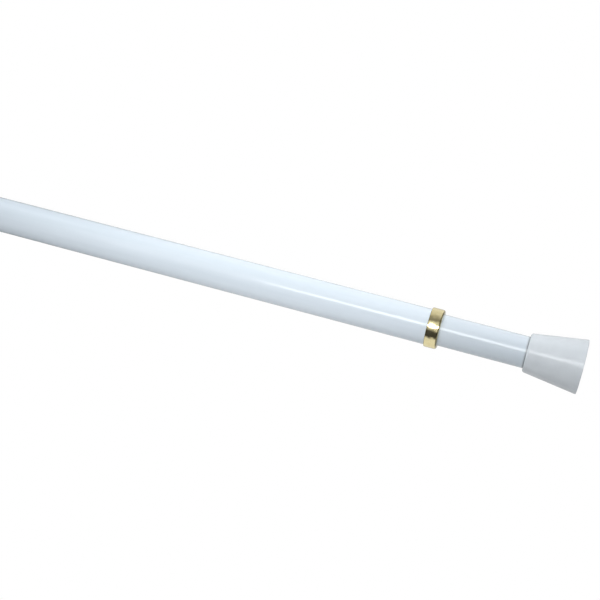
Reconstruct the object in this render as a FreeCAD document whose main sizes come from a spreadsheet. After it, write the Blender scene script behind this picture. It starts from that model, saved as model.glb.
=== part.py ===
"""Spring tension rod: two telescoping painted tubes with flared end caps, a brass trim ring, and a
twist lock with a compression spring inside.

The rod lies along X. The origin is the centre of the wall face of the outer tube's end cap, +X runs to
the telescoping end and +Z is up. The rod is drawn closed, with its lock tightened.
Sizes are in millimetres and degrees.
"""

import FreeCAD, Part
import os
import re

import Sketcher

# Driving dimensions. Each is one cell of the document's spreadsheet.
SIZES = {
    # tubes, one inch over seven eighths
    "outer_tube_diameter": 25.4,
    "outer_tube_wall": 0.6,
    "outer_tube_length": 501.0,
    "tube_gap": 1.0,
    "inner_tube_wall": 0.6,
    "exposed_length": 60.2,
    "closed_gap": 10.0,
    # end caps
    "cap_length": 38.1,
    "cap_wall_diameter": 38.1,
    "cap_mouth_wall": 2.4,
    "cap_floor": 6.0,
    "cap_wall_edge": 0.8,
    "cap_mouth_edge": 0.5,
    "cap_lead_in": 0.7,
    "grip_groove_radius": 11.0,
    "grip_groove_width": 2.0,
    "grip_groove_depth": 1.0,
    # plugs that close the tube ends inside the caps
    "plug_flange": 2.0,
    "plug_depth": 12.0,
    "plug_wall": 2.0,
    # trim ring and the guide bush behind it, in the outer tube's mouth
    "ring_length": 8.8,
    "ring_wall": 1.35,
    "ring_lip": 0.8,
    "ring_lip_gap": 0.4,
    "ring_edge": 0.4,
    "mouth_bush_length": 20.0,
    "mouth_bush_flange": 2.0,
    # guide bush in the inner tube's hidden end
    "guide_flange": 4.0,
    "guide_depth": 18.0,
    # twist lock
    "thread_diameter": 8.0,
    "thread_pitch": 1.25,
    "lock_turns": 1.0,
    "sleeve_length": 28.0,
    "sleeve_lip": 1.5,
    "taper_angle": 10.0,
    "taper_depth": 18.0,
    "slot_length": 16.0,
    "slot_width": 2.4,
    "slot_count": 4,
    "cone_overhang": 4.0,
    "cone_reach": 15.0,
    "key_reach": 8.0,
    "lock_nut_flats": 13.0,
    "lock_nut_thickness": 6.5,
    "stop_nut_thickness": 4.0,
    "washer_diameter": 18.0,
    "washer_thickness": 1.6,
    "stem_chamfer": 0.8,
    # compression spring and its two seats
    "spring_stroke": 25.0,
    "stroke_spare": 2.0,
    "spring_length": 50.0,
    "spring_gap": 0.7,
    "spring_wire": 1.6,
    "spring_turns": 4,
    "follower_thickness": 3.0,
    "spigot_length": 4.0,
    "tail_diameter": 6.0,
    "tail_washer_diameter": 12.0,
    "tail_washer_thickness": 1.0,
    "tail_nut_flats": 10.0,
    "tail_nut_thickness": 5.0,
    "stop_length": 12.0,
    "crimp_depth": 0.8,
    "crimp_width": 1.6,
    # clearances, on the radius or along the axis
    "press_fit": 0.02,
    "running_fit": 0.1,
    "sliding_fit": 0.15,
    "loose_fit": 0.3,
    "end_float": 0.2,
    "thread_end": 1.5,
}

# Sizes and stations worked out from the driving dimensions.
DERIVED = {
    "outer_radius": "outer_tube_diameter / 2",
    "outer_bore": "outer_radius - outer_tube_wall",
    "inner_radius": "outer_bore - tube_gap",
    "inner_bore": "inner_radius - inner_tube_wall",
    # along the rod, from the outer cap's wall face
    "outer_tube_start": "cap_floor + plug_flange",
    "outer_tube_end": "outer_tube_start + outer_tube_length",
    "ring_front": "outer_tube_end + mouth_bush_flange + ring_lip",
    "closed_length": "ring_front + exposed_length + cap_length",
    "inner_tube_end": "closed_length - cap_floor - plug_flange",
    "lock_travel": "thread_pitch * lock_turns",
    "stem_start": "outer_tube_start + plug_depth + closed_gap",
    "stop_nut_start": "stem_start + thread_end",
    "cone_start": "stop_nut_start + stop_nut_thickness + lock_travel + loose_fit",
    "sleeve_start": "cone_start + cone_overhang",
    "washer_start": "sleeve_start + sleeve_length + end_float",
    "square_start": "washer_start + washer_thickness",
    "inner_tube_start": "square_start + stroke_spare + spring_stroke + guide_flange",
    "inner_tube_length": "inner_tube_end - inner_tube_start",
    "follower_start": "inner_tube_start + guide_depth + end_float",
    "spring_start": "follower_start + follower_thickness",
    "stop_start": "spring_start + spring_length",
    "tail_washer_start": "spring_start + spigot_length",
    "tail_nut_start": "tail_washer_start + tail_washer_thickness",
    "stem_end": "tail_nut_start + tail_nut_thickness + thread_end",
    # across the rod
    "sleeve_radius": "outer_bore - running_fit",
    "taper_mouth": "sleeve_radius - sleeve_lip",
    "taper_slope": "tan(taper_angle * 1 deg)",
    "cone_mouth": "taper_mouth - running_fit",
    "thread_radius": "thread_diameter / 2",
    "thread_hole": "thread_radius + running_fit",
    "tail_radius": "tail_diameter / 2",
    "tail_hole": "tail_radius + running_fit",
    "spring_radius": "inner_bore - spring_gap - spring_wire / 2",
    "spigot_radius": "spring_radius - spring_wire / 2 - loose_fit",
    "end_pitch": "spring_wire + running_fit",
    "open_pitch": "(spring_length - 2 * press_fit - spring_wire - 2 * end_pitch) / spring_turns",
}

# Flat sides that stand for the round of the spring's wire.
WIRE_SIDES = 6

doc = FreeCAD.newDocument("spring_tension_rod")
sheet = doc.addObject("Spreadsheet::Sheet", "Dimensions")
for row, (alias, size) in enumerate(SIZES.items(), start=1):
    sheet.set(f"A{row}", alias)
    sheet.set(f"B{row}", str(size))
    sheet.setAlias(f"B{row}", alias)
doc.recompute()


# Expressions

def bound(text):
    """The expression with each derived name opened out and each size pointing at its cell."""
    def swap(match):
        word = match.group(0)
        if word in DERIVED:
            return "(" + bound(DERIVED[word]) + ")"
        return "Dimensions." + word if word in SIZES else word
    return re.sub(r"[a-z_]+", swap, text)


def number(text):
    """The expression's value at the sheet's present sizes."""
    value = sheet.evalExpression(bound(text))
    return float(getattr(value, "Value", value))


def negative(text):
    return f"-({text})"


# Building blocks

def new_body(label, station="0", turned=False):
    """An empty body on the rod's axis with its own origin at a station, turned end for end if asked."""
    body = doc.addObject("PartDesign::Body", label)
    body.Label = label
    if turned:
        body.Placement.Rotation = FreeCAD.Rotation(FreeCAD.Vector(0, 0, 1), 180)
    body.setExpression("Placement.Base.x", bound(station))
    return body


def new_sketch(body, role, offset="0"):
    """A sketch on one of the body's origin planes, moved along the plane's normal by the offset."""
    sketch = body.newObject("Sketcher::SketchObject", body.Label + "_sketch")
    plane = next(f for f in body.Origin.OriginFeatures if f.Role == role)
    sketch.AttachmentSupport = [(plane, "")]
    sketch.MapMode = "FlatFace"
    sketch.setExpression("AttachmentOffset.Base.z", bound(offset))
    return sketch


def place_point(sketch, line, across, up):
    """Ties the start of a line to its two coordinates, with the sheet's expressions."""
    for kind, axis, text in (("DistanceX", -2, across), ("DistanceY", -1, up)):
        value = number(text)
        if abs(value) < 1e-9:
            sketch.addConstraint(Sketcher.Constraint("PointOnObject", line, 1, axis))
            continue
        index = sketch.addConstraint(Sketcher.Constraint(kind, -1, 1, line, 1, value))
        sketch.setExpression(f"Constraints[{index}]", bound(text))


def outline(sketch, points):
    """A closed outline of straight lines through points given as pairs of expressions."""
    corners = [FreeCAD.Vector(number(across), number(up), 0) for across, up in points]
    first = sketch.GeometryCount
    count = len(points)
    for i in range(count):
        sketch.addGeometry(Part.LineSegment(corners[i], corners[(i + 1) % count]))
    for i in range(count):
        sketch.addConstraint(Sketcher.Constraint("Coincident", first + i, 2, first + (i + 1) % count, 1))
    for i, (across, up) in enumerate(points):
        place_point(sketch, first + i, across, up)


def circle(sketch, radius):
    """A circle about the rod's axis."""
    centre = FreeCAD.Vector(0, 0, 0)
    normal = FreeCAD.Vector(0, 0, 1)
    index = sketch.addGeometry(Part.Circle(centre, normal, number(radius)))
    sketch.addConstraint(Sketcher.Constraint("Coincident", index, 3, -1, 1))
    fixed = sketch.addConstraint(Sketcher.Constraint("Radius", index, number(radius)))
    sketch.setExpression(f"Constraints[{fixed}]", bound(radius))


def polygon_points(sides, radius, centre="0"):
    """Corners of a regular polygon, with a corner on the sketch's horizontal axis through its centre."""
    step = 360 / sides
    return [
        (f"{radius} * cos({k * step} deg)", f"{centre} + {radius} * sin({k * step} deg)")
        for k in range(sides)
    ]


def box_points(low_x, high_x, half_width):
    """Corners of a rectangle that lies along the rod, centred on its axis."""
    low = negative(half_width)
    return [(low_x, low), (high_x, low), (high_x, half_width), (low_x, half_width)]


def square_points(half_side):
    return box_points(negative(half_side), half_side, half_side)


def turned_solid(body, points):
    """A solid of revolution about the rod's axis: each point is a station and a radius."""
    sketch = new_sketch(body, "XZ_Plane")
    outline(sketch, points)
    feature = body.newObject("PartDesign::Revolution", body.Label + "_turned")
    feature.Profile = sketch
    feature.ReferenceAxis = (sketch, ["H_Axis"])
    feature.Angle = 360
    doc.recompute()
    return feature


def extruded(body, sketch, length):
    """A pad from the sketch along its plane's normal."""
    feature = body.newObject("PartDesign::Pad", body.Label + "_pad")
    feature.Profile = sketch
    feature.setExpression("Length", bound(length))
    doc.recompute()
    return feature


def cut(body, sketch, length):
    """A pocket from the sketch along its plane's normal, which must take something away."""
    before = body.Shape.Volume
    feature = body.newObject("PartDesign::Pocket", body.Label + "_pocket")
    feature.Profile = sketch
    feature.Reversed = True
    feature.setExpression("Length", bound(length))
    doc.recompute()
    if body.Shape.Volume > before - 1e-6:
        raise RuntimeError(f"a pocket in {body.Label} cut nothing")
    return feature


def repeated_round(body, feature, sketch, count):
    """Copies of a feature spread evenly round the rod's axis."""
    pattern = body.newObject("PartDesign::PolarPattern", body.Label + "_pattern")
    pattern.Originals = [feature]
    pattern.Axis = (sketch, ["H_Axis"])
    pattern.Angle = 360
    pattern.setExpression("Occurrences", bound(count))
    body.Tip = pattern
    doc.recompute()


def edges_broken(body, feature, rings, size):
    """Chamfers the circular edges that lie at the given stations and radii of the body's own frame."""
    wanted = [(number(station), number(ring)) for station, ring in rings]
    edges = []
    for i, edge in enumerate(feature.Shape.Edges, start=1):
        if not isinstance(edge.Curve, Part.Circle):
            continue
        station, ring = edge.Curve.Center.x, edge.Curve.Radius
        if any(abs(station - s) < 1e-6 and abs(ring - r) < 1e-6 for s, r in wanted):
            edges.append(f"Edge{i}")
    chamfer = body.newObject("PartDesign::Chamfer", body.Label + "_edge")
    chamfer.Base = (feature, edges)
    chamfer.setExpression("Size", bound(size))
    doc.recompute()
    return chamfer


# Sub-parts of the outer half

def make_outer_tube():
    """Thin rolled steel tube, painted, open at both ends."""
    body = new_body("outer_tube", "outer_tube_start")
    sketch = new_sketch(body, "YZ_Plane")
    circle(sketch, "outer_radius")
    circle(sketch, "outer_bore")
    extruded(body, sketch, "outer_tube_length")


def make_end_cap(label, tube_radius, station, turned):
    """Flared soft cap: a cone that widens to the wall face, with a blind socket and a grip groove."""
    body = new_body(label, station, turned)
    socket = f"({tube_radius} + press_fit)"
    mouth = f"({socket} + cap_mouth_wall)"
    groove_rim = "grip_groove_radius + grip_groove_width"
    cone = turned_solid(body, [
        ("0", "0"),
        ("0", "grip_groove_radius"),
        ("grip_groove_depth", "grip_groove_radius"),
        ("grip_groove_depth", groove_rim),
        ("0", groove_rim),
        ("0", "cap_wall_diameter / 2"),
        ("cap_length", mouth),
        ("cap_length", f"{socket} + cap_lead_in"),
        ("cap_length - cap_lead_in", socket),
        ("cap_floor", socket),
        ("cap_floor", "0"),
    ])
    wall_edge = edges_broken(body, cone, [("0", "cap_wall_diameter / 2")], "cap_wall_edge")
    edges_broken(body, wall_edge, [("cap_length", mouth)], "cap_mouth_edge")


def make_tube_plug(label, tube_radius, tube_bore, station, turned):
    """Cup-shaped plug that spreads the tube's push over the cap's floor."""
    body = new_body(label, station, turned)
    rim = f"{tube_radius} - press_fit"
    side = f"({tube_bore} - press_fit)"
    turned_solid(body, [
        ("0", "0"),
        ("0", rim),
        ("plug_flange", rim),
        ("plug_flange", side),
        ("plug_flange + plug_depth", side),
        ("plug_flange + plug_depth", f"{side} - plug_wall"),
        ("plug_wall", f"{side} - plug_wall"),
        ("plug_wall", "0"),
    ])


def make_trim_ring():
    """Brass ferrule pressed over the outer tube's mouth, with a lip that hides the tube's cut edge."""
    body = new_body("trim_ring", "ring_front - ring_length")
    hole = "outer_radius + press_fit"
    outside = "outer_radius + ring_wall"
    lip = "inner_radius + ring_lip_gap"
    ring = turned_solid(body, [
        ("0", hole),
        ("0", outside),
        ("ring_length", outside),
        ("ring_length", lip),
        ("ring_length - ring_lip", lip),
        ("ring_length - ring_lip", hole),
    ])
    edges_broken(body, ring, [("0", outside), ("ring_length", outside)], "ring_edge")


def make_mouth_bush():
    """Plastic bush that guides the inner tube. Its flange is trapped between outer tube and ring."""
    body = new_body("mouth_bush", "outer_tube_end - mouth_bush_length")
    guide = "inner_radius + sliding_fit"
    side = "outer_bore - press_fit"
    length = "mouth_bush_length + mouth_bush_flange"
    turned_solid(body, [
        ("0", guide),
        ("0", side),
        ("mouth_bush_length", side),
        ("mouth_bush_length", "outer_radius"),
        (length, "outer_radius"),
        (length, guide),
    ])


# Sub-parts of the twist lock

def make_expander_sleeve():
    """Slotted plastic sleeve whose fingers the cone spreads against the outer tube's bore."""
    body = new_body("expander_sleeve", "sleeve_start")
    turned_solid(body, [
        ("0", "taper_mouth"),
        ("0", "sleeve_radius"),
        ("sleeve_length", "sleeve_radius"),
        ("sleeve_length", "thread_hole"),
        ("taper_depth", "thread_hole"),
        ("taper_depth", "taper_mouth - taper_depth * taper_slope"),
    ])
    sketch = new_sketch(body, "XZ_Plane")
    outline(sketch, box_points("-thread_end", "slot_length", "slot_width / 2"))
    slot = cut(body, sketch, "sleeve_radius + thread_end")
    repeated_round(body, slot, sketch, "slot_count")


def make_expander_cone():
    """Plastic cone on the stem's thread, with keys for the sleeve's slots and a pocket for its nut."""
    body = new_body("expander_cone", "cone_start")
    length = "(cone_overhang + cone_reach)"
    turned_solid(body, [
        ("0", "0"),
        ("0", "cone_mouth + cone_overhang * taper_slope"),
        (length, "cone_mouth - cone_reach * taper_slope"),
        (length, "0"),
    ])
    keys = new_sketch(body, "XZ_Plane")
    outline(keys, box_points("0", "cone_overhang + key_reach", "slot_width / 2 - loose_fit"))
    key = extruded(body, keys, "sleeve_radius - loose_fit")
    repeated_round(body, key, keys, "slot_count")
    hole = new_sketch(body, "YZ_Plane")
    circle(hole, "thread_hole")
    cut(body, hole, length)
    pocket = new_sketch(body, "YZ_Plane")
    outline(pocket, polygon_points(6, "(lock_nut_flats / sqrt(3) + running_fit)"))
    cut(body, pocket, "lock_nut_thickness")


def make_hex_nut(label, station, flats, thickness, hole):
    """Plain hexagon nut. Its thread is drawn as a smooth hole."""
    body = new_body(label, station)
    sketch = new_sketch(body, "YZ_Plane")
    outline(sketch, polygon_points(6, f"({flats} / sqrt(3))"))
    circle(sketch, hole)
    extruded(body, sketch, thickness)


def make_lock_stem():
    """Square steel bar, turned round for a thread at the lock end and for a nut at its tail."""
    body = new_body("lock_stem", "stem_start")
    shoulder = "(follower_start - stem_start)"
    length = "(stem_end - stem_start)"
    turned_solid(body, [
        ("0", "0"),
        ("0", "thread_radius - stem_chamfer"),
        ("stem_chamfer", "thread_radius"),
        (shoulder, "thread_radius"),
        (shoulder, "tail_radius"),
        (f"{length} - stem_chamfer", "tail_radius"),
        (length, "tail_radius - stem_chamfer"),
        (length, "0"),
    ])
    sketch = new_sketch(body, "YZ_Plane", "square_start - stem_start")
    outline(sketch, square_points("thread_radius"))
    extruded(body, sketch, "follower_start - square_start")


def make_washer(label, station, hole, outside, thickness):
    """Flat steel washer."""
    body = new_body(label, station)
    sketch = new_sketch(body, "YZ_Plane")
    circle(sketch, outside)
    circle(sketch, hole)
    extruded(body, sketch, thickness)


def make_spring_follower():
    """Plastic disc on the stem's tail that the spring pushes, with a spigot inside the coil."""
    body = new_body("spring_follower", "follower_start")
    length = "follower_thickness + spigot_length"
    turned_solid(body, [
        ("0", "tail_hole"),
        ("0", "inner_bore - loose_fit"),
        ("follower_thickness", "inner_bore - loose_fit"),
        ("follower_thickness", "spigot_radius"),
        (length, "spigot_radius"),
        (length, "tail_hole"),
    ])


# Sub-parts of the inner half

def make_inner_tube():
    """Painted tube that telescopes, with a rolled crimp that holds the spring's stop."""
    body = new_body("inner_tube", "inner_tube_start")
    crimp = "(stop_start + stop_length / 2 - inner_tube_start)"
    ramp = "(crimp_width / 2 + crimp_depth)"

    def wall(radius):
        return [
            (f"{crimp} - {ramp}", radius),
            (f"{crimp} - crimp_width / 2", f"{radius} - crimp_depth"),
            (f"{crimp} + crimp_width / 2", f"{radius} - crimp_depth"),
            (f"{crimp} + {ramp}", radius),
        ]

    turned_solid(
        body,
        [("0", "inner_radius"), *wall("inner_radius"), ("inner_tube_length", "inner_radius")]
        + [("inner_tube_length", "inner_bore"), *reversed(wall("inner_bore")), ("0", "inner_bore")],
    )


def make_guide_bush():
    """Plastic bush in the inner tube's hidden end, whose square hole keys the stem."""
    body = new_body("guide_bush", "inner_tube_start - guide_flange")
    length = "guide_flange + guide_depth"
    turned_solid(body, [
        ("0", "0"),
        ("0", "outer_bore - sliding_fit"),
        ("guide_flange", "outer_bore - sliding_fit"),
        ("guide_flange", "inner_bore - press_fit"),
        (length, "inner_bore - press_fit"),
        (length, "0"),
    ])
    sketch = new_sketch(body, "YZ_Plane")
    outline(sketch, square_points("thread_radius + sliding_fit"))
    cut(body, sketch, length)


def make_spring_stop():
    """Plastic plug crimped into the inner tube, with a spigot inside the coil's far end."""
    body = new_body("spring_stop", "stop_start - spigot_length")
    side = "inner_bore - press_fit"
    floor = f"{side} - crimp_depth"
    middle = "(spigot_length + stop_length / 2)"
    ramp = "(crimp_width / 2 + crimp_depth)"
    length = "spigot_length + stop_length"
    turned_solid(body, [
        ("0", "0"),
        ("0", "spigot_radius"),
        ("spigot_length", "spigot_radius"),
        ("spigot_length", side),
        (f"{middle} - {ramp}", side),
        (f"{middle} - crimp_width / 2", floor),
        (f"{middle} + crimp_width / 2", floor),
        (f"{middle} + {ramp}", side),
        (length, side),
        (length, "0"),
    ])


def make_compression_spring():
    """Round steel wire coiled open, with one closed turn at each end. The wire is drawn flat-sided."""
    body = new_body("compression_spring", "spring_start + press_fit")
    runs = [
        ("end_pitch", "1", "spring_wire / 2"),
        ("open_pitch", "spring_turns", "spring_wire / 2 + end_pitch"),
        ("end_pitch", "1", "spring_wire / 2 + end_pitch + open_pitch * spring_turns"),
    ]
    for pitch, turns, start in runs:
        sketch = new_sketch(body, "XZ_Plane")
        section = polygon_points(WIRE_SIDES, "(spring_wire / 2)", "spring_radius")
        outline(sketch, [(f"{start} + {across}", up) for across, up in section])
        coil = body.newObject("PartDesign::AdditiveHelix", "compression_spring_coil")
        coil.Profile = sketch
        coil.ReferenceAxis = (sketch, ["H_Axis"])
        coil.Mode = "pitch-turns-angle"
        coil.setExpression("Pitch", bound(pitch))
        coil.setExpression("Turns", bound(turns))
        doc.recompute()


def build():
    make_outer_tube()
    make_end_cap("outer_end_cap", "outer_radius", "0", turned=False)
    make_tube_plug("outer_tube_plug", "outer_radius", "outer_bore", "cap_floor", turned=False)
    make_trim_ring()
    make_mouth_bush()
    make_expander_sleeve()
    make_expander_cone()
    make_hex_nut("cone_nut", "cone_start", "lock_nut_flats", "lock_nut_thickness", "thread_hole")
    make_lock_stem()
    make_hex_nut("stop_nut", "stop_nut_start", "lock_nut_flats", "stop_nut_thickness", "thread_hole")
    make_washer("thrust_washer", "washer_start", "thread_hole", "washer_diameter / 2", "washer_thickness")
    make_spring_follower()
    make_washer(
        "tail_washer", "tail_washer_start", "tail_hole", "tail_washer_diameter / 2", "tail_washer_thickness"
    )
    make_hex_nut("tail_nut", "tail_nut_start", "tail_nut_flats", "tail_nut_thickness", "tail_hole")
    make_compression_spring()
    make_inner_tube()
    make_end_cap("inner_end_cap", "inner_radius", "closed_length", turned=True)
    plug_end = "closed_length - cap_floor"
    make_tube_plug("inner_tube_plug", "inner_radius", "inner_bore", plug_end, turned=True)
    make_guide_bush()
    make_spring_stop()
    doc.recompute()


def export():
    """Checks every object of the document, then writes one STEP file for each sub-part."""
    failed = [o.Name for o in doc.Objects if "Invalid" in o.State or "Error" in o.State]
    bodies = [o for o in doc.Objects if o.TypeId == "PartDesign::Body"]
    failed += [b.Label for b in bodies if b.Shape.isNull() or not b.Shape.isValid()]
    if failed:
        raise RuntimeError(f"these objects failed: {failed}")
    os.makedirs("parts", exist_ok=True)
    for body in bodies:
        body.Shape.exportStep(os.path.join("parts", body.Label + ".step"))
        print(f"{body.Label}: {body.Shape.Volume:.1f} mm3, {len(body.Shape.Solids)} solid")


build()
export()
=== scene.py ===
import math

import bmesh
import bpy
import numpy as np
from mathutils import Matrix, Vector


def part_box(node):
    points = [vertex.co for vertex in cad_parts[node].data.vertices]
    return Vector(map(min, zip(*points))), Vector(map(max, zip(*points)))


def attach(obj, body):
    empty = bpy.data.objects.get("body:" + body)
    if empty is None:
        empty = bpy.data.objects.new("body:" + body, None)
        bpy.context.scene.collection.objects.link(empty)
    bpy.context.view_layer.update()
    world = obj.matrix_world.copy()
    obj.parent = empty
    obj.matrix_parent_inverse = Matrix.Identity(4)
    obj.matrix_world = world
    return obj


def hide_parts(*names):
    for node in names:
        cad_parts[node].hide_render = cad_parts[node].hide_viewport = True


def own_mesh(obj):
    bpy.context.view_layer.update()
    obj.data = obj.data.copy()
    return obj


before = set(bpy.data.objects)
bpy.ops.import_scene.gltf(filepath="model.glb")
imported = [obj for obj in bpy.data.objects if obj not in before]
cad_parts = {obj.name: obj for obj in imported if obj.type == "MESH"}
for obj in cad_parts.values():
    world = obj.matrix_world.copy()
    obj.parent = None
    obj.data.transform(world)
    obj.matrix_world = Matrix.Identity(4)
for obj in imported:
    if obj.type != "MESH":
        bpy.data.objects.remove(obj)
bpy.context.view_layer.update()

mm = 0.001  # a millimetre in the scene's metres
scene = bpy.context.scene


# sRGB hex code to a linear colour
def hexColour(code):
    srgb = np.array([int(code[i:i + 2], 16) for i in (1, 3, 5)]) / 255
    linear = np.where(srgb <= 0.04045, srgb / 12.92, ((srgb + 0.055) / 1.055) ** 2.4)
    return (*linear.tolist(), 1.0)


# adds a node: settings fill its sockets or properties, links feed its sockets, stops fill its colour ramp
def addNode(tree, kind, settings=None, links=None, stops=()):
    node = tree.nodes.new(kind)
    for key, value in (settings or {}).items():
        if isinstance(key, int) or key in node.inputs:
            node.inputs[key].default_value = value
        else:
            setattr(node, key, value)
    for i, (place, code) in enumerate(stops):
        ramp = node.color_ramp.elements
        stop = ramp[i] if i < len(ramp) else ramp.new(place)
        stop.position = place
        stop.color = hexColour(code)
    for key, source in (links or {}).items():
        tree.links.new(source, node.inputs[key])
    return node


# a material with nothing but its shader
def newMaterial(name, shaderSettings):
    material = bpy.data.materials.new(name)
    material.use_nodes = True
    tree = material.node_tree
    tree.nodes.clear()
    shader = addNode(tree, "ShaderNodeBsdfPrincipled", shaderSettings)
    addNode(tree, "ShaderNodeOutputMaterial", links={"Surface": shader.outputs["BSDF"]})
    return material, tree, shader


# A finish is built from its look. Clouds drift between the tints, and sheen between the two roughnesses
# of gloss. Both are patterns: a feature size in millimetres, along X, Y and Z where stretched, and a
# detail. A bump is a pattern with a height in millimetres, and lies on the one before it. Grain, turning
# lines and ripples that are too fine or too shallow to show are drawn as coarse and as deep as they need.
def makeFinish(look):
    material, tree, shader = newMaterial(look["name"], look["shader"])
    place = addNode(tree, "ShaderNodeTexCoord").outputs["Object"]

    def pattern(size, detail):
        perMetre = (1 / (np.broadcast_to(size, 3) * mm)).tolist()
        sized = addNode(tree, "ShaderNodeMapping", {"Scale": perMetre}, {"Vector": place})
        noise = addNode(tree, "ShaderNodeTexNoise", {"Scale": 1.0, "Detail": detail},
                        {"Vector": sized.outputs["Vector"]})
        return noise.outputs["Fac"]

    colour = addNode(tree, "ShaderNodeValToRGB", links={"Fac": pattern(*look["clouds"])},
                     stops=look["tints"]).outputs["Color"]
    # the grey mixed in by a point attribute: painted shade along a cap's mouth, and the inner tube's
    # greyer tone
    if "greyAndSeamShade" in look:
        # a colour mix takes its share at socket 0 and its colours at 6 and 7, and gives the mix at 2
        greyAndSeamShade = addNode(tree, "ShaderNodeAttribute", {"attribute_name": "greyAndSeamShade"})
        colour = addNode(tree, "ShaderNodeMix", {"data_type": "RGBA", 7: hexColour(look["greyAndSeamShade"])},
                         {0: greyAndSeamShade.outputs["Fac"], 6: colour}).outputs[2]
    rough = addNode(tree, "ShaderNodeMapRange", {"To Min": look["gloss"][0], "To Max": look["gloss"][1]},
                    {"Value": pattern(*look["sheen"])}).outputs["Result"]
    bumped = {}
    for size, detail, height in look["bumps"]:
        bump = addNode(tree, "ShaderNodeBump", {"Strength": 1.0, "Distance": height * mm},
                       {"Height": pattern(size, detail), **bumped})
        bumped = {"Normal": bump.outputs["Normal"]}
    for socket, source in {"Base Color": colour, "Roughness": rough, **bumped}.items():
        tree.links.new(source, shader.inputs[socket])
    return material


# Baked enamel on rolled steel tube: cool white, a clear gloss with faint orange peel over long soft draw
# waves, a grey line of painted shade where a cap meets it, and a little grey all over the inner tube
enamelLook = {
    "name": "white_baked_enamel", "shader": {"IOR": 1.5},
    "tints": ((0.35, "#DBE7F1"), (0.65, "#E3EEF8")), "clouds": ((160, 9, 9), 3.0), "greyAndSeamShade": "#6F7578",
    "gloss": (0.055, 0.095), "sheen": (7, 2.0),
    "bumps": ((1.4, 1.0, 0.004), ((60, 5, 5), 1.0, 0.02)),
}
enamel = makeFinish(enamelLook)

# Polished brass plate under lacquer: a warm mirror with fine turning lines, on thin metal that ripples
brassLook = {
    "name": "polished_brass_plate",
    "shader": {"Metallic": 1.0, "Coat Weight": 0.15, "Coat Roughness": 0.05},
    "tints": ((0.3, "#EADCA8"), (0.7, "#F1E6B8")), "clouds": (4, 4.0),
    "gloss": (0.09, 0.17), "sheen": ((0.06, 9, 9), 2.0),
    "bumps": (((0.06, 9, 9), 2.0, 0.0006), (3.5, 0.0, 0.25)),
}
brass = makeFinish(brassLook)

# Moulded soft vinyl: off-white and satin, with a fine eroded mould grain and slight clouding
vinylLook = {
    "name": "satin_moulded_vinyl", "shader": {"IOR": 1.4},
    "tints": ((0.3, "#D3DAE0"), (0.7, "#D9E0E6")), "clouds": (9, 4.0),
    "gloss": (0.17, 0.24), "sheen": (3, 3.0), "bumps": ((0.35, 2.0, 0.003),),
}
vinyl = makeFinish(vinylLook)

# Moulded natural acetal: milky and slippery, with a soft grain
acetalLook = {
    "name": "natural_moulded_acetal", "shader": {"IOR": 1.48},
    "tints": ((0.3, "#DEDACD"), (0.7, "#EAE7DC")), "clouds": (6, 3.0),
    "gloss": (0.3, 0.42), "sheen": (0.3, 2.0), "bumps": ((0.3, 2.0, 0.004),),
}
acetal = makeFinish(acetalLook)

# Moulded black nylon: dull, with a deeper grain that scatters the light
nylonLook = {
    "name": "black_moulded_nylon", "shader": {"IOR": 1.53},
    "tints": ((0.3, "#1F2023"), (0.7, "#2C2D30")), "clouds": (4, 3.0),
    "gloss": (0.42, 0.58), "sheen": (0.25, 2.0), "bumps": ((0.25, 2.0, 0.008),),
}
nylon = makeFinish(nylonLook)

# Bright zinc plate on turned steel: silvery with a faint blue and straw cast over lathe lines
zincLook = {
    "name": "bright_zinc_plate", "shader": {"Metallic": 1.0},
    "tints": ((0.25, "#BFC7CE"), (0.5, "#D2D3CF"), (0.75, "#D8D2BF")), "clouds": (3, 4.0),
    "gloss": (0.22, 0.38), "sheen": ((0.08, 3, 3), 2.0), "bumps": (((0.08, 3, 3), 2.0, 0.001),),
}
zinc = makeFinish(zincLook)

# Drawn spring wire: grey and oily, with the fine pits that drawing leaves
wireLook = {
    "name": "drawn_spring_wire", "shader": {"Metallic": 1.0},
    "tints": ((0.25, "#7C7B78"), (0.5, "#93918D"), (0.75, "#A3A19C")), "clouds": (2, 4.0),
    "gloss": (0.2, 0.36), "sheen": (0.4, 2.0), "bumps": ((0.4, 2.0, 0.002),),
}
springSteel = makeFinish(wireLook)
print("materials:", len(bpy.data.materials))


# Profile of straight sides with rounded corners: every corner is station, radius, rounding in
# millimetres. A point on a corner's arc is its centre plus the spokes to both sides, blended by the sines
# of the arc's two parts. A guard point just off each end of the arc keeps the shading of the straight
# sides flat.
def roundedProfile(corners, steps=8, guard=0.12):
    points = np.array(corners, float)[:, :2]
    runs = []
    for i, corner in enumerate(corners):
        here, rounding = points[i], corner[2]
        if rounding == 0:
            runs.append(here[None])
            continue
        sides = np.stack([points[i - 1], points[(i + 1) % len(points)]]) - here
        sides /= np.linalg.norm(sides, axis=1)[:, None]
        half = np.arccos(np.clip(sides[0] @ sides[1], -1, 1)) / 2
        bisector = sides.sum(0) / np.linalg.norm(sides.sum(0))
        centre = here + bisector * rounding / np.sin(half)
        tangents = here + sides * rounding / np.tan(half)
        spokes = tangents - centre
        sweep = math.pi - 2 * half
        share = np.linspace(0, 1, steps + 1)[:, None]
        blend = np.sin((1 - share) * sweep) * spokes[0] + np.sin(share * sweep) * spokes[1]
        guards = tangents + sides * guard
        runs.append(np.concatenate([guards[:1], centre + blend / np.sin(sweep), guards[1:]]))
    return np.concatenate(runs)


# angles round the rod, evenly spread
def roundAngles(count):
    return np.linspace(0, 2 * np.pi, count, endpoint=False)


# Surface of revolution about X: a profile point turned by an angle is (station, radius cos angle, radius
# sin angle). The radius may be one column, or a whole grid where it also changes with the angle.
def turnedGrid(stations, radii, angles):
    stations = np.broadcast_to(stations, np.broadcast_shapes(stations.shape, radii.shape, angles.shape))
    return np.stack([stations, radii * np.cos(angles), radii * np.sin(angles)], axis=-1) * mm


# degrees of a fold that stays crisp, and metres between points that are merged
meshing = {"crease": 32.0, "weld": 1e-7}


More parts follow.
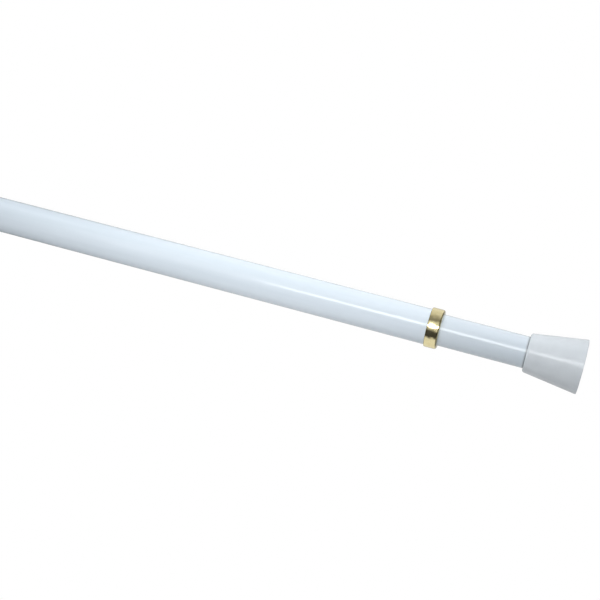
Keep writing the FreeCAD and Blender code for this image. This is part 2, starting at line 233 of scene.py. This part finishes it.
# Quads between neighbouring rows and columns of a grid of points. Columns always close on themselves, and
# rows do where the profile is a closed ring. A surface whose volume is negative is turned to face
# outwards, and points that coincide, as at a pole, are merged.
def gridPiece(name, grid, material, closedRows=False, greyAndSeamShade=None):
    rows, columns = grid.shape[:2]
    index = np.arange(rows * columns).reshape(rows, columns)
    nextRow = np.roll(index, -1, axis=0) if closedRows else index[1:]
    thisRow = index if closedRows else index[:-1]
    around = thisRow, nextRow, np.roll(nextRow, -1, axis=1), np.roll(thisRow, -1, axis=1)
    quads = np.stack(around, axis=-1).reshape(-1, 4)
    corner = grid.reshape(-1, 3)[quads]
    spread = np.cross(corner[:, 2] - corner[:, 0], corner[:, 3] - corner[:, 1])
    if (corner.mean(1) * spread).sum() < 0:
        quads = quads[:, ::-1]
    mesh = bpy.data.meshes.new(name)
    mesh.from_pydata(grid.reshape(-1, 3), [], quads.tolist())
    # a point attribute of how far the enamel is greyed: painted shade at a cap's mouth, and the inner
    # tube's tone
    if greyAndSeamShade is not None:
        layer = mesh.attributes.new("greyAndSeamShade", "FLOAT", "POINT")
        layer.data.foreach_set("value", np.broadcast_to(greyAndSeamShade, (rows, columns)).ravel())
    work = bmesh.new()
    work.from_mesh(mesh)
    bmesh.ops.remove_doubles(work, verts=work.verts, dist=meshing["weld"])
    work.to_mesh(mesh)
    work.free()
    mesh.shade_smooth()
    mesh.set_sharp_from_angle(angle=math.radians(meshing["crease"]))
    mesh.materials.append(material)
    piece = bpy.data.objects.new(name, mesh)
    scene.collection.objects.link(piece)
    return piece


# puts a finished piece on its body, in place of its CAD node
def fitPiece(piece, body, node):
    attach(piece, body)
    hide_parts(node)


# a CAD node's ends along the rod and its outer radius, in millimetres
def reach(node):
    low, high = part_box(node)
    return low.x / mm, high.x / mm, max(high.y, high.z) / mm


# Tubes: a thin wall with deburred ends. The inner one is a little greyer all over, and dips at its rolled
# crimp. A line of painted shade lies along each cap's mouth and falls off as a bell curve of the
# distance.
# Rows of points crowd towards it, at distances that go as the square of their share.
outerTube = {
    "wall": 0.6, "deburr": 0.2, "deburrSteps": 4, "columns": 192,
    "dull": 0.0, "seamShade": 0.8, "seamWidth": 0.85, "seamReach": 5.0, "seamRows": 12,
}
innerTube = {**outerTube, "dull": 0.1, "crimpDepth": 0.8, "crimpWidth": 1.6, "crimpSoft": 0.7}
stopSpigot = 4.0  # length of the spring stop's spigot, which stands inside the coil


def tubePiece(part, name, node, capMouth, outward, dips=lambda radius: []):
    start, end, radius = reach(node)
    bore, deburr = radius - part["wall"], part["deburr"]
    fromMouth = part["seamReach"] * np.linspace(0, 1, part["seamRows"]) ** 2
    seam = [(station, radius, 0) for station in np.sort(capMouth - outward * fromMouth)]
    skin = [*seam, *dips(radius)] if outward < 0 else [*dips(radius), *seam]
    profile = roundedProfile([
        (start, radius, deburr), *skin, (end, radius, deburr),
        (end, bore, deburr), *reversed(dips(bore)), (start, bore, deburr)], part["deburrSteps"])
    # painted shade along the cap's mouth, falling off away from it, added to the tube's even grey tone
    away = np.maximum((capMouth - profile[:, :1]) * outward, 0) / part["seamWidth"]
    greyAndSeamShade = part["dull"] + part["seamShade"] * np.exp(-away ** 2)
    grid = turnedGrid(profile[:, :1], profile[:, 1:], roundAngles(part["columns"]))
    return gridPiece(name, grid, enamel, closedRows=True, greyAndSeamShade=greyAndSeamShade)


def makeOuterTube(part):
    piece = tubePiece(part, "outerTube", "outer_tube", reach("outer_end_cap")[1], -1)
    fitPiece(piece, "outer", "outer_tube")


def makeInnerTube(part):
    stopStart, stopEnd = reach("spring_stop")[:2]
    seat = (stopStart + stopSpigot + stopEnd) / 2
    half, soft = part["crimpWidth"] / 2, part["crimpSoft"]
    ramp = half + part["crimpDepth"]

    def crimp(radius):
        floor = radius - part["crimpDepth"]
        return [(seat - ramp, radius, soft), (seat - half, floor, soft),
                (seat + half, floor, soft), (seat + ramp, radius, soft)]

    piece = tubePiece(part, "innerTube", "inner_tube", reach("inner_end_cap")[0], 1, crimp)
    fitPiece(piece, "inner", "inner_tube")


makeOuterTube(outerTube)
makeInnerTube(innerTube)
print("tubes made")


# Trim ring: a short sleeve with a crisp back edge, whose face eases down in low shoulders to its edges.
# The front edge is rounded more, where the metal is drawn in to a thin lip over the tube's end.
trimRing = {
    "fit": 0.02, "holeEdge": 0.1, "ease": 4.0,
    "backShoulder": 1.2, "backDrop": 0.1, "backEdge": 0.35,
    "frontShoulder": 1.8, "frontDrop": 0.25, "frontEdge": 1.2,
    "lip": 0.8, "lipClear": 0.4, "lipEdge": 0.25, "lipBack": 0.1, "lipRoot": 0.05,
    "guard": 0.05, "columns": 224,
}


def makeTrimRing(part):
    back, front, radius = reach("trim_ring")
    hole = reach("outer_tube")[2] + part["fit"]
    lipHole = reach("inner_tube")[2] + part["lipClear"]
    lipStart = front - part["lip"]
    profile = roundedProfile([
        (back, hole, part["holeEdge"]), (back, radius - part["backDrop"], part["backEdge"]),
        (back + part["backShoulder"], radius, part["ease"]),
        (front - part["frontShoulder"], radius, part["ease"]),
        (front, radius - part["frontDrop"], part["frontEdge"]), (front, lipHole, part["lipEdge"]),
        (lipStart, lipHole, part["lipBack"]), (lipStart, hole, part["lipRoot"])], guard=part["guard"])
    grid = turnedGrid(profile[:, :1], profile[:, 1:], roundAngles(part["columns"]))
    piece = gridPiece("trimRing", grid, brass, closedRows=True)
    fitPiece(piece, "outer", "trim_ring")


makeTrimRing(trimRing)
print("trim ring made")


# End caps: a flared cone with rounded rims, a socket with a lead-in, a grip groove and a gate mark on the
# wall face. Two mould parting lines run along the flank, each a low ridge whose height falls off as a
# bell curve round the cap, with finer columns there.
endCap = {
    "wallRadius": 19.05, "rim": 0.4, "mouthWall": 2.4, "mouthRim": 1.6,
    "floor": 6.0, "floorSoft": 0.3, "fit": 0.02, "leadIn": 0.7, "leadEdge": 0.1, "leadSoft": 0.2,
    "grooveRadius": 11.0, "grooveWidth": 2.0, "grooveDepth": 1.0, "grooveSoft": 0.4,
    "gateRadius": 2.2, "gateDepth": 0.5, "gateSoft": 0.2,
    "nubRadius": 0.7, "nubDepth": 0.15, "nubSoft": 0.1,
    "partingAngle": -128.0, "partingHeight": 0.05, "partingWidth": 0.18,
    "partingReach": 3.0, "partingColumns": 13, "flankBelowMouth": 0.6,
    "columns": 240, "columnGap": 0.002, "guard": 0.08,
}


def makeEndCap(part, name, body, node, tube, wallStation, direction):
    low, high = reach(node)[:2]
    length = high - low
    socket = reach(tube)[2] + part["fit"]
    mouth = socket + part["mouthWall"]
    groove, grooveEdge = part["grooveRadius"], part["grooveRadius"] + part["grooveWidth"]
    grooveSoft, gateSoft, nubSoft = part["grooveSoft"], part["gateSoft"], part["nubSoft"]
    profile = roundedProfile([
        (part["nubDepth"], 0, 0), (part["nubDepth"], part["nubRadius"], nubSoft),
        (part["gateDepth"], part["nubRadius"], nubSoft),
        (part["gateDepth"], part["gateRadius"], gateSoft), (0, part["gateRadius"], gateSoft),
        (0, groove, grooveSoft), (part["grooveDepth"], groove, grooveSoft),
        (part["grooveDepth"], grooveEdge, grooveSoft), (0, grooveEdge, grooveSoft),
        (0, part["wallRadius"], part["rim"]), (length, mouth, part["mouthRim"]),
        (length, socket + part["leadIn"], part["leadEdge"]),
        (length - part["leadIn"], socket, part["leadSoft"]),
        (part["floor"], socket, part["floorSoft"]), (part["floor"], 0, 0)], guard=part["guard"])
    stations, radii = profile[:, :1], profile[:, 1:]

    parting = math.radians(part["partingAngle"])
    fine = np.linspace(-1, 1, part["partingColumns"]) * part["partingReach"] * part["partingWidth"]
    fine = parting + fine / part["wallRadius"]
    angles = np.concatenate([roundAngles(part["columns"]), fine, fine + np.pi])
    angles = np.sort(angles % (2 * np.pi))
    angles = angles[np.append(True, np.diff(angles) > part["columnGap"])]
    away = np.sin(angles - parting) * radii / part["partingWidth"]
    flank = (stations > part["rim"]) & (stations < length - part["mouthRim"])
    flank &= radii > mouth - part["flankBelowMouth"]
    radii = radii + part["partingHeight"] * np.exp(-away ** 2) * flank
    piece = gridPiece(name, turnedGrid(wallStation + direction * stations, radii, angles), vinyl)
    fitPiece(piece, body, node)


makeEndCap(endCap, "outerEndCap", "outer", "outer_end_cap", "outer_tube", reach("outer_end_cap")[0], 1)
makeEndCap(endCap, "innerEndCap", "inner", "inner_end_cap", "inner_tube", reach("inner_end_cap")[1], -1)
print("end caps made")


# Compression spring: the wire's centre is (station, coil cos angle, coil sin angle), and the station
# climbs by the pitch at each turn, which eases from the closed end turns into the open ones. Round it
# goes a circle across the path. The ends are ground flat, so stations stop at the spring's length.
spring = {
    "coil": 9.0, "wire": 1.6, "endTurns": 1.0, "openTurns": 4.0, "endPitch": 1.7, "ease": 0.15,
    "ground": 0.4, "stepsPerTurn": 60, "sides": 16, "squeezed": 0.5,
}


# a smooth step from 0 to 1
def easeIn(share):
    share = np.clip(share, 0, 1)
    return share * share * (3 - 2 * share)


def makeSpring(part):
    low, high = reach("compression_spring")[:2]
    turns = 2 * part["endTurns"] + part["openTurns"]
    turn = np.linspace(0, turns, round(turns * part["stepsPerTurn"]) + 1)
    fromEnd = np.minimum(turn, turns - turn) - part["endTurns"]
    opened = easeIn(0.5 + fromEnd / (2 * part["ease"]))
    climbed = np.append(0, np.cumsum((opened[1:] + opened[:-1]) / 2 * np.diff(turn)))
    rise = high - low - part["wire"] + 2 * part["ground"]
    openPitch = (rise - part["endPitch"] * turns) / climbed[-1]
    start = low + part["wire"] / 2 - part["ground"]
    angle = 2 * np.pi * turn
    out = np.stack([0 * angle, np.cos(angle), np.sin(angle)], axis=-1)
    path = part["coil"] * out
    path[:, 0] = start + part["endPitch"] * turn + openPitch * climbed
    along = np.gradient(path, axis=0)
    along /= np.linalg.norm(along, axis=1)[:, None]
    out -= along * (along * out).sum(1)[:, None]
    out /= np.linalg.norm(out, axis=1)[:, None]
    side = np.cross(along, out)
    circle = roundAngles(part["sides"])[None, :, None]
    spokes = np.cos(circle) * out[:, None] + np.sin(circle) * side[:, None]
    ends = np.broadcast_to(path[[0, -1], None], (2, part["sides"], 3))
    grid = np.concatenate([ends[:1], path[:, None] + part["wire"] / 2 * spokes, ends[1:]])
    grid[..., 0] = np.clip(grid[..., 0], low, high)
    piece = gridPiece("compressionSpring", grid * mm, springSteel)
    fitPiece(piece, "inner", "compression_spring")
    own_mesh(piece)


makeSpring(spring)
print("spring made")


# Thread: the radius falls from its crest by a wave with flat tops and bottoms, whose root, flank and
# depth are shares of the pitch. Its phase is the station over the pitch less the part of a turn, so the
# nuts and the stem mesh.
thread = {"root": 0.15, "flank": 0.65, "depth": 0.58, "rowsPerPitch": 8}


def threadStations(start, end, pitch):
    steps = round(abs(end - start) / pitch * thread["rowsPerPitch"])
    return np.linspace(start, end, steps + 1)[:, None]


def threadRadius(stations, angles, crest, pitch):
    phase = (stations / pitch - angles / (2 * np.pi)) % 1
    climb = 1 - np.abs(2 * phase - 1)
    height = np.clip((climb - thread["root"]) / thread["flank"], 0, 1)
    return crest - thread["depth"] * pitch * (1 - height)


# Lock stem: a threaded end, a square shank with softened corners and a threaded tail, as one radius by
# station and angle. The square's radius is half its width over the greater of the angle's cosine and
# sine. It runs from the thrust washer to the spring follower. Each thread eases out over its run-out
# beside the square, and a cone of 45 degrees cuts it at its free end.
lockStem = {
    "radius": 4.0, "pitch": 1.25, "half": 4.0, "corner": 5.3, "tailRadius": 3.0, "tailPitch": 1.0,
    "runOut": 1.5, "chamfer": 0.8, "columns": 48,
}


def makeStem(part):
    low, high = reach("lock_stem")[:2]
    squareStart, squareEnd = reach("thrust_washer")[1], reach("spring_follower")[0]
    angles = roundAngles(part["columns"])
    nearFlat = np.maximum(np.abs(np.cos(angles)), np.abs(np.sin(angles)))
    square = np.minimum(part["half"] / nearFlat, part["corner"])[None]

    def threaded(start, end, radius, pitch, freeEnd):
        stations = threadStations(start, end, pitch)
        grooved = threadRadius(stations, angles, radius, pitch)
        plain = easeIn(1 - np.abs(stations - (start + end - freeEnd)) / part["runOut"])
        taper = radius - part["chamfer"] + np.abs(stations - freeEnd)
        return stations, np.minimum(grooved + (radius - grooved) * plain, taper)

    lockEnd, lockRadii = threaded(low, squareStart, part["radius"], part["pitch"], low)
    tail, tailRadii = threaded(squareEnd, high, part["tailRadius"], part["tailPitch"], high)
    stations = np.concatenate([lockEnd[:1], lockEnd, [[squareStart], [squareEnd]], tail, tail[-1:]])
    pole = np.zeros((1, part["columns"]))
    radii = np.concatenate([pole, lockRadii, square, square, tailRadii, pole])
    piece = gridPiece("lockStem", turnedGrid(stations, radii, angles), zinc)
    fitPiece(piece, "lock_stem", "lock_stem")


# Hex nut: half the flats over the cosine of the angle from the nearest flat, cut by a cone at both faces,
# and a threaded hole that clears the stem's thread, with a lead-in of 45 degrees at both ends. Two flats
# face up and down, so the CAD node's height is the width across them.
hexNut = {"cone": 30.0, "coneStart": 0.95, "coneRows": 7, "clear": 0.08, "columns": 72}


def makeNut(part, name, body, node, pitch, crest):
    low, high = reach(node)[:2]
    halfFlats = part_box(node)[1].z / mm
    angles = roundAngles(part["columns"])
    hexagon = halfFlats / np.cos(angles % (np.pi / 3) - np.pi / 6)
    coneRise = math.tan(math.radians(part["cone"]))
    coneDepth = halfFlats * (1 / math.cos(math.pi / 6) - part["coneStart"]) * coneRise
    edge = np.linspace(0, coneDepth, part["coneRows"])
    skin = np.concatenate([low + edge, high - edge[::-1]])[:, None]
    cone = part["coneStart"] * halfFlats + np.minimum(skin - low, high - skin) / coneRise
    hole = threadStations(high, low, pitch)
    leadIn = crest - np.minimum(hole - low, high - hole)
    bore = np.maximum(threadRadius(hole, angles, crest, pitch), leadIn) + part["clear"]
    stations = np.concatenate([skin, hole])
    radii = np.concatenate([np.minimum(hexagon, cone), bore])
    piece = gridPiece(name, turnedGrid(stations, radii, angles), zinc, closedRows=True)
    fitPiece(piece, body, node)


makeStem(lockStem)
makeNut(hexNut, "coneNut", "lock_cone", "cone_nut", lockStem["pitch"], lockStem["radius"])
makeNut(hexNut, "stopNut", "lock_stem", "stop_nut", lockStem["pitch"], lockStem["radius"])
makeNut(hexNut, "tailNut", "lock_stem", "tail_nut", lockStem["tailPitch"], lockStem["tailRadius"])
print("stem and nuts made")


# CAD nodes that stay, with a finish for what each is made of
keptFinish = {
    "mouth_bush": acetal, "outer_tube_plug": acetal, "inner_tube_plug": acetal, "guide_bush": acetal,
    "spring_follower": acetal, "spring_stop": acetal,
    "expander_sleeve": nylon, "expander_cone": nylon,
    "thrust_washer": zinc, "tail_washer": zinc,
}
for node, finish in keptFinish.items():
    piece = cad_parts[node]
    piece.data.materials.clear()
    piece.data.materials.append(finish)
print("kept CAD nodes finished:", len(keptFinish))


# Camera: the photograph's view, level, from the front right and above. Its aim is a little below the
# axis, at a station of the rod.
cameraSetup = {
    "azimuth": 19.0, "elevation": 50.0, "distance": 0.784, "lens": 66.0,
    "aimStation": 408.6, "aimDrop": 5.0,
}


def makeCamera(setup):
    azimuth, elevation = math.radians(setup["azimuth"]), math.radians(setup["elevation"])
    ahead = Vector((math.sin(azimuth), -math.cos(azimuth), 0))
    back = ahead * math.cos(elevation) + Vector((0, 0, math.sin(elevation)))
    up = Vector((0, 0, math.cos(elevation))) - ahead * math.sin(elevation)
    aim = Vector((setup["aimStation"] * mm, 0, 0)) - up * setup["aimDrop"] * mm
    camera = bpy.data.objects.new("camera", bpy.data.cameras.new("camera"))
    scene.collection.objects.link(camera)
    camera.data.lens = setup["lens"]
    camera.location = aim + back * setup["distance"]
    camera.rotation_euler = back.to_track_quat("Z", "Y").to_euler()
    scene.camera = camera


makeCamera(cameraSetup)
print("camera set")


# Studio: a pale floor that turns up into a white cove, which only the camera sees, and a room whose
# brightness goes by the angle round the rod, from the front (0) over the top (90) to the back (180), and
# fades towards the rod's ends
studio = {
    "coveWide": 4.0, "coveHigh": 6.0, "coveDrop": 0.8, "coveGlow": 1.0, "coveRows": 25, "coveColumns": 64,
    "room": (
        (-180, "#F0F0F0"), (-128, "#C0C0C0"), (-80, "#ECECEC"), (-18, "#ECECEC"), (-6, "#3E3E3E"),
        (26, "#474747"), (52, "#E6E6E6"), (76, "#E6E6E6"), (99, "#8A8A8A"), (146, "#E0E0E0"),
        (180, "#F0F0F0")),
    "roomNear": 0.18, "roomFar": 0.5, "roomFade": 0.22,
}


# Cove: a flat round floor and a dome over it, with profile points (wide cos rise, high sin rise) above it
def makeCove(setup):
    rise = np.linspace(0, np.pi / 2, setup["coveRows"])[:, None]
    angles = roundAngles(setup["coveColumns"])
    wide = setup["coveWide"] * np.cos(rise)
    height = setup["coveHigh"] * np.sin(rise) - setup["coveDrop"] + 0 * angles
    dome = np.stack([wide * np.cos(angles), wide * np.sin(angles), height], axis=-1)
    middle = dome[:1] * np.array([0, 0, 1])
    white = newMaterial("white_cove", {
        "Base Color": (0, 0, 0, 1), "Specular IOR Level": 0.0,
        "Emission Color": (1, 1, 1, 1), "Emission Strength": setup["coveGlow"]})[0]
    cove = gridPiece("floor", np.concatenate([middle, dome]), white)
    cove.visible_diffuse = cove.visible_glossy = cove.visible_transmission = cove.visible_shadow = False


def makeRoom(setup):
    world = bpy.data.worlds.new("room")
    scene.world = world
    world.use_nodes = True
    tree = world.node_tree
    tree.nodes.clear()
    way = addNode(tree, "ShaderNodeTexCoord").outputs["Generated"]
    axes = addNode(tree, "ShaderNodeSeparateXYZ", links={"Vector": way})
    front = addNode(tree, "ShaderNodeMath", {"operation": "MULTIPLY", 1: -1.0}, {0: axes.outputs["Y"]})
    angle = addNode(tree, "ShaderNodeMath", {"operation": "ARCTAN2"},
                    {0: axes.outputs["Z"], 1: front.outputs["Value"]})
    turn = addNode(tree, "ShaderNodeMapRange", {"From Min": -math.pi, "From Max": math.pi},
                   {"Value": angle.outputs["Value"]})
    ramp = addNode(tree, "ShaderNodeValToRGB", links={"Fac": turn.outputs["Result"]},
                   stops=[((degrees + 180) / 360, code) for degrees, code in setup["room"]])
    ramp.color_ramp.interpolation = "EASE"
    side = addNode(tree, "ShaderNodeMath", {"operation": "ABSOLUTE"}, {0: axes.outputs["X"]})
    fade = addNode(tree, "ShaderNodeMapRange", {
        "interpolation_type": "SMOOTHSTEP", "From Min": setup["roomNear"], "From Max": setup["roomFar"],
        "To Min": 1.0, "To Max": setup["roomFade"]}, {"Value": side.outputs["Value"]})
    background = addNode(tree, "ShaderNodeBackground", links={
        "Color": ramp.outputs["Color"], "Strength": fade.outputs["Result"]})
    addNode(tree, "ShaderNodeOutputWorld", links={"Surface": background.outputs["Background"]})


# Lamps stand at a station along the rod, so far off it and at an elevation in front of it, in metres and
# degrees, and face the rod there or at the target station. Glow is the brightness of a lamp's face. The
# strip only draws the long highlight, and the soft boxes only light, the last two from beyond the ends.
softBox = {"shape": "RECTANGLE", "wide": 0.3, "deep": 0.2, "lights": True}
endBox = {**softBox, "deep": 0.3, "elevation": 0.0, "distance": 0.0, "glow": 5.0}
lamps = {
    "stripLight": {"shape": "ELLIPSE", "wide": 1.26, "deep": 0.3, "lights": False,
                   "station": 0.77, "elevation": 60.0, "distance": 0.87, "glow": 5.8},
    "frontLight": {**softBox, "station": 0.345, "elevation": 50.0, "distance": 0.36, "glow": 3.1},
    "lowLight": {**softBox, "station": 0.345, "elevation": 0.0, "distance": 0.36, "glow": 1.3},
    "backLight": {**softBox, "station": 0.37, "elevation": 140.0, "distance": 0.42, "glow": 4.15},
    "topRightLight": {**softBox, "station": 0.6, "elevation": 90.0, "distance": 0.42, "glow": 2.75},
    "topLeftLight": {**softBox, "station": 0.12, "elevation": 100.0, "distance": 0.42, "glow": 1.9},
    "leftEndLight": {**endBox, "station": -0.5, "target": 0.0},
    "rightEndLight": {**endBox, "station": 1.11, "target": 0.61},
}


def makeLamp(name, setup):
    elevation = math.radians(setup["elevation"])
    off = setup["distance"] * Vector((0, -math.cos(elevation), math.sin(elevation)))
    light = bpy.data.lights.new(name, "AREA")
    light.shape = setup["shape"]
    light.size, light.size_y = setup["wide"], setup["deep"]
    face = setup["wide"] * setup["deep"] * (math.pi / 4 if setup["shape"] == "ELLIPSE" else 1)
    light.energy = setup["glow"] * math.pi * face
    lamp = bpy.data.objects.new(name, light)
    scene.collection.objects.link(lamp)
    lamp.location = Vector((setup["station"], 0, 0)) + off
    facing = lamp.location - Vector((setup.get("target", setup["station"]), 0, 0))
    lamp.rotation_euler = facing.to_track_quat("Z", "Y").to_euler()
    lamp.visible_camera = False
    lamp.visible_diffuse = setup["lights"]
    lamp.visible_glossy = not setup["lights"]


makeCove(studio)
makeRoom(studio)
for name, setup in lamps.items():
    makeLamp(name, setup)
scene.view_settings.view_transform = "Standard"
print("studio lit")
